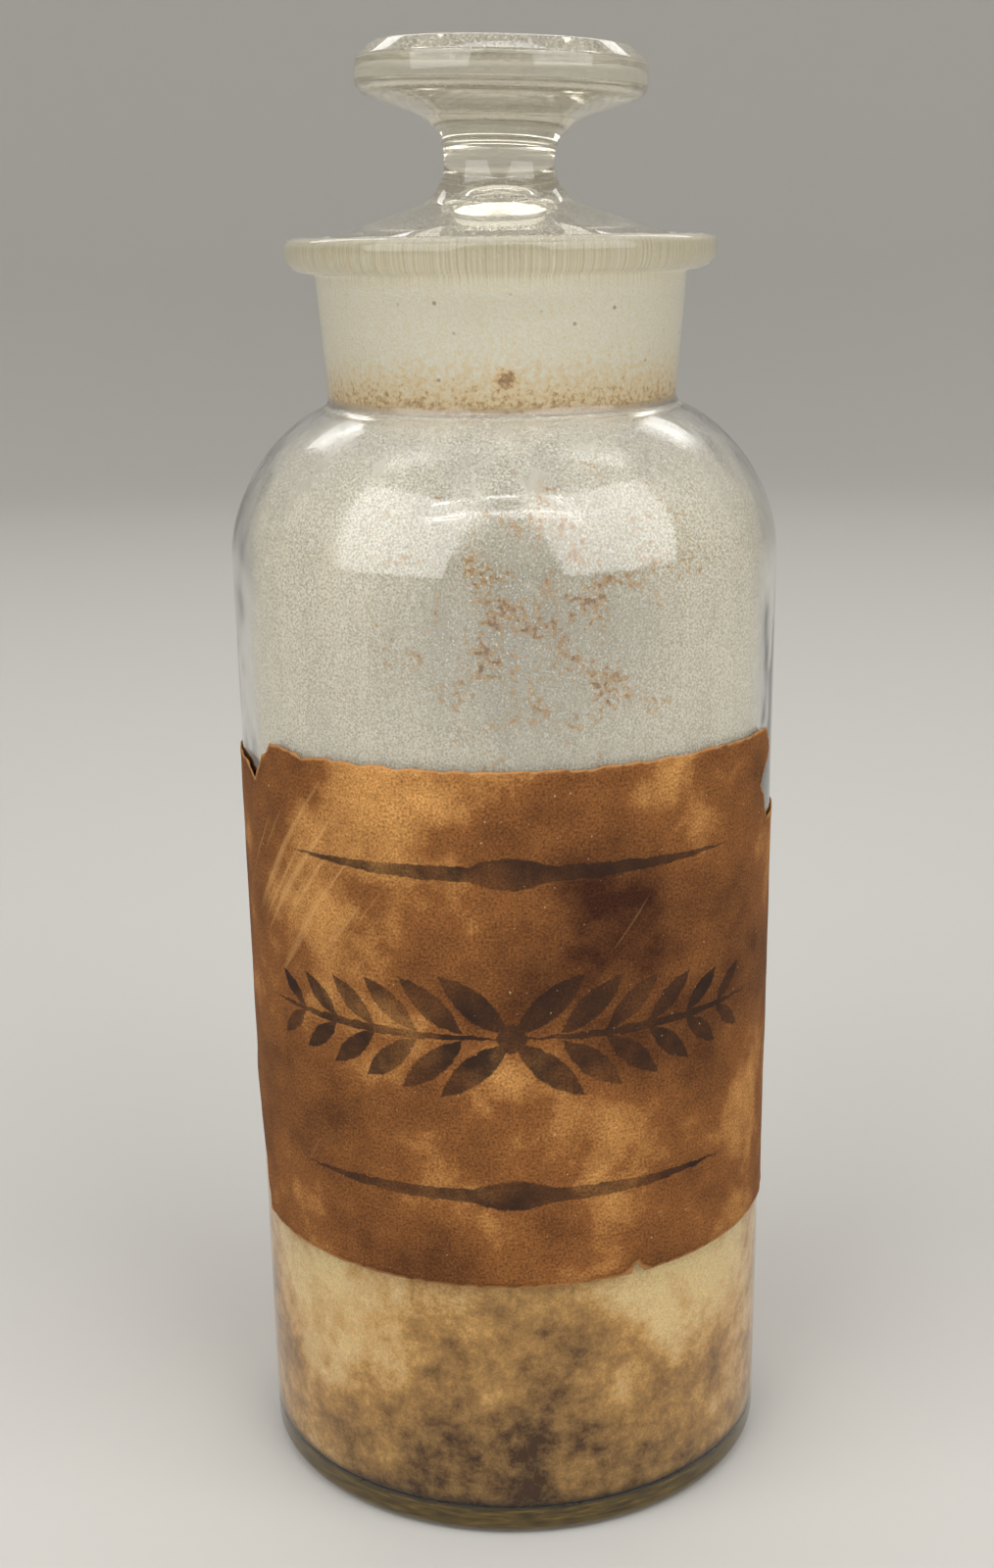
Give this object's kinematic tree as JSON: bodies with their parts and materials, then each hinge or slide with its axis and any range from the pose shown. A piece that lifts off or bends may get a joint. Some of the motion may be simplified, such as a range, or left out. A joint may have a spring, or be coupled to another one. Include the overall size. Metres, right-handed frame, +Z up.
{
  "type": "apothecary bottle",
  "caption": "Wide-mouthed round glass apothecary bottle with a lift-out ground glass stopper, a torn brown paper label and powder inside.",
  "frame": {"origin": "middle of the base, on the plane that the bottle stands on", "axes": "+Z up along the bottle's axis, the middle of the label faces -Y"},
  "size_m": [0.091, 0.091, 0.2406],
  "materials": {
    "bottle_glass": "polished",
    "stopper_glass": "polished",
    "label_paper": "matte",
    "powder": "matte"
  },
  "bodies": {
    "bottle": {"bottle": "bottle_glass", "label": "label_paper", "powder": "powder"},
    "stopper": {"stopper": "stopper_glass"}
  },
  "joints": [
    {"name": "stopper_lift", "type": "slide", "parent": "bottle", "child": "stopper", "axis": [0, 0, 1], "range_m": [0, 0.085]}
  ]
}
